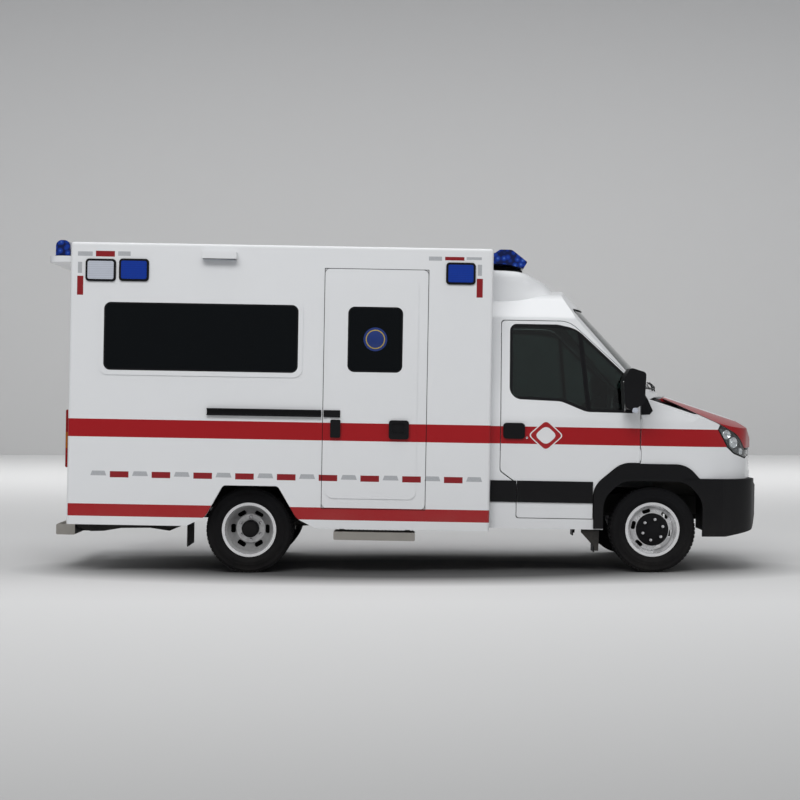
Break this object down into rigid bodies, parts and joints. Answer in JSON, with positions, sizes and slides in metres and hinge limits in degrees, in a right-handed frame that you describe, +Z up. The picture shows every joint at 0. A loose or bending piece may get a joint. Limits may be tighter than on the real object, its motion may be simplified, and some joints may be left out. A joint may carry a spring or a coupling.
{
  "type": "box ambulance",
  "caption": "Box-bodied ambulance on a light truck chassis with twin rear wheels, working steering, cab doors, rear doors and bonnet, a hollow cab and load box, and light bars.",
  "frame": {"origin": "centre of the overall box in plan, at the level of the ground under the tyres", "axes": "+X forward, +Y to the vehicle's left, +Z up; the vehicle stands level on the ground with its body raked nose down by one degree"},
  "size_m": [5.8785, 2.524, 2.7248],
  "materials": {
    "white_paint": "gloss",
    "black_plastic": "matte",
    "chassis_black": "satin",
    "cast_steel": "matte",
    "wheel_silver": "satin",
    "tyre_rubber": "matte",
    "tinted_glass": "gloss",
    "dark_glass": "gloss",
    "blue_lens": "gloss",
    "clear_lens": "gloss",
    "red_lens": "gloss",
    "seat_fabric": "matte",
    "step_metal": "satin",
    "floor_covering": "matte"
  },
  "bodies": {
    "vehicle": {"arch_flares": "black_plastic", "arch_liners": "black_plastic", "blue_lamps": "blue_lens", "box_floor": "floor_covering", "box_front_wall": "white_paint", "box_rear_frame": "white_paint", "box_roof": "white_paint", "box_wall_left": "white_paint", "box_wall_right": "white_paint", "box_windows": "dark_glass", "cab_floor": "floor_covering", "cab_frame": "white_paint", "cab_rear_wall": "white_paint", "cab_roof": "white_paint", "cab_seats": "seat_fabric", "chassis_frame": "chassis_black", "clear_lamps": "clear_lens", "cowl": "black_plastic", "dashboard": "black_plastic", "entry_steps": "step_metal", "front_bumper": "black_plastic", "front_fenders": "white_paint", "front_panel": "white_paint", "fuel_tank": "black_plastic", "grille": "black_plastic", "headlamps": "clear_lens", "lamp_bezels": "black_plastic", "powertrain": "cast_steel", "rear_axle": "cast_steel", "roof_fairing": "white_paint", "side_door": "white_paint", "side_door_fittings": "black_plastic", "suspension": "chassis_black", "tail_lamps": "red_lens", "windscreen": "tinted_glass"},
    "steering_left": {"knuckle_left": "cast_steel"},
    "front_wheel_left": {"front_rim_left": "wheel_silver", "front_tyre_left": "tyre_rubber"},
    "rear_wheel_left": {"rear_rims_left": "wheel_silver", "rear_tyres_left": "tyre_rubber"},
    "cab_door_left": {"cab_door_left": "white_paint", "cab_door_glass_left": "tinted_glass", "cab_door_fittings_left": "black_plastic"},
    "rear_door_left": {"rear_door_left": "white_paint", "rear_door_glass_left": "dark_glass"},
    "steering_right": {"knuckle_right": "cast_steel"},
    "front_wheel_right": {"front_rim_right": "wheel_silver", "front_tyre_right": "tyre_rubber"},
    "rear_wheel_right": {"rear_rims_right": "wheel_silver", "rear_tyres_right": "tyre_rubber"},
    "cab_door_right": {"cab_door_right": "white_paint", "cab_door_glass_right": "tinted_glass", "cab_door_fittings_right": "black_plastic"},
    "rear_door_right": {"rear_door_right": "white_paint", "rear_door_glass_right": "dark_glass"},
    "bonnet": {"bonnet": "white_paint"},
    "steering_wheel": {"steering_wheel": "black_plastic"},
    "steering_rack": {"steering_rack": "cast_steel"}
  },
  "joints": [
    {"name": "steer_left", "type": "hinge", "parent": "vehicle", "child": "steering_left", "pos_m": [1.9924, 0.76, 0.35], "axis": [0.0175, 0, 0.9998], "range_deg": [-33, 33]},
    {"name": "front_spin_left", "type": "hinge", "parent": "steering_left", "child": "front_wheel_left", "pos_m": [1.9924, 0.862, 0.35], "axis": [0, 1, 0], "continuous": true},
    {"name": "rear_spin_left", "type": "hinge", "parent": "vehicle", "child": "rear_wheel_left", "pos_m": [-1.3076, 0.77, 0.35], "axis": [0, 1, 0], "continuous": true},
    {"name": "cab_door_left_hinge", "type": "hinge", "parent": "vehicle", "child": "cab_door_left", "pos_m": [1.89116, 0.994, 1.08188], "axis": [-0.0175, 0, -0.9998], "range_deg": [0, 70]},
    {"name": "rear_door_left_hinge", "type": "hinge", "parent": "vehicle", "child": "rear_door_left", "pos_m": [-2.7688, 0.698, 1.58328], "axis": [-0.0175, 0, -0.9998], "range_deg": [0, 100]},
    {"name": "steer_right", "type": "hinge", "parent": "vehicle", "child": "steering_right", "pos_m": [1.9924, -0.76, 0.35], "axis": [0.0175, 0, 0.9998], "range_deg": [-33, 33]},
    {"name": "front_spin_right", "type": "hinge", "parent": "steering_right", "child": "front_wheel_right", "pos_m": [1.9924, -0.862, 0.35], "axis": [0, 1, 0], "continuous": true},
    {"name": "rear_spin_right", "type": "hinge", "parent": "vehicle", "child": "rear_wheel_right", "pos_m": [-1.3076, -0.77, 0.35], "axis": [0, 1, 0], "continuous": true},
    {"name": "cab_door_right_hinge", "type": "hinge", "parent": "vehicle", "child": "cab_door_right", "pos_m": [1.89116, -0.994, 1.08188], "axis": [0.0175, 0, 0.9998], "range_deg": [0, 70]},
    {"name": "rear_door_right_hinge", "type": "hinge", "parent": "vehicle", "child": "rear_door_right", "pos_m": [-2.7688, -0.698, 1.58328], "axis": [0.0175, 0, 0.9998], "range_deg": [0, 100]},
    {"name": "bonnet_hinge", "type": "hinge", "parent": "vehicle", "child": "bonnet", "pos_m": [2.1158, 0, 1.40301], "axis": [0, -1, 0], "range_deg": [0, 50]},
    {"name": "steering_wheel_turn", "type": "hinge", "parent": "vehicle", "child": "steering_wheel", "pos_m": [1.53957, 0.38, 1.33805], "axis": [-0.4848, 0, 0.8746], "range_deg": [-495, 495]},
    {"name": "rack_slide", "type": "slide", "parent": "vehicle", "child": "steering_rack", "axis": [0, 1, 0], "range_m": [-0.07257, 0.07257]}
  ],
  "couplings": [
    {"joint": "steer_right", "follows": "steer_left", "ratio": 1},
    {"joint": "steering_wheel_turn", "follows": "steer_left", "ratio": 15},
    {"joint": "rack_slide", "follows": "steer_left", "m_per_rad": -0.126}
  ]
}
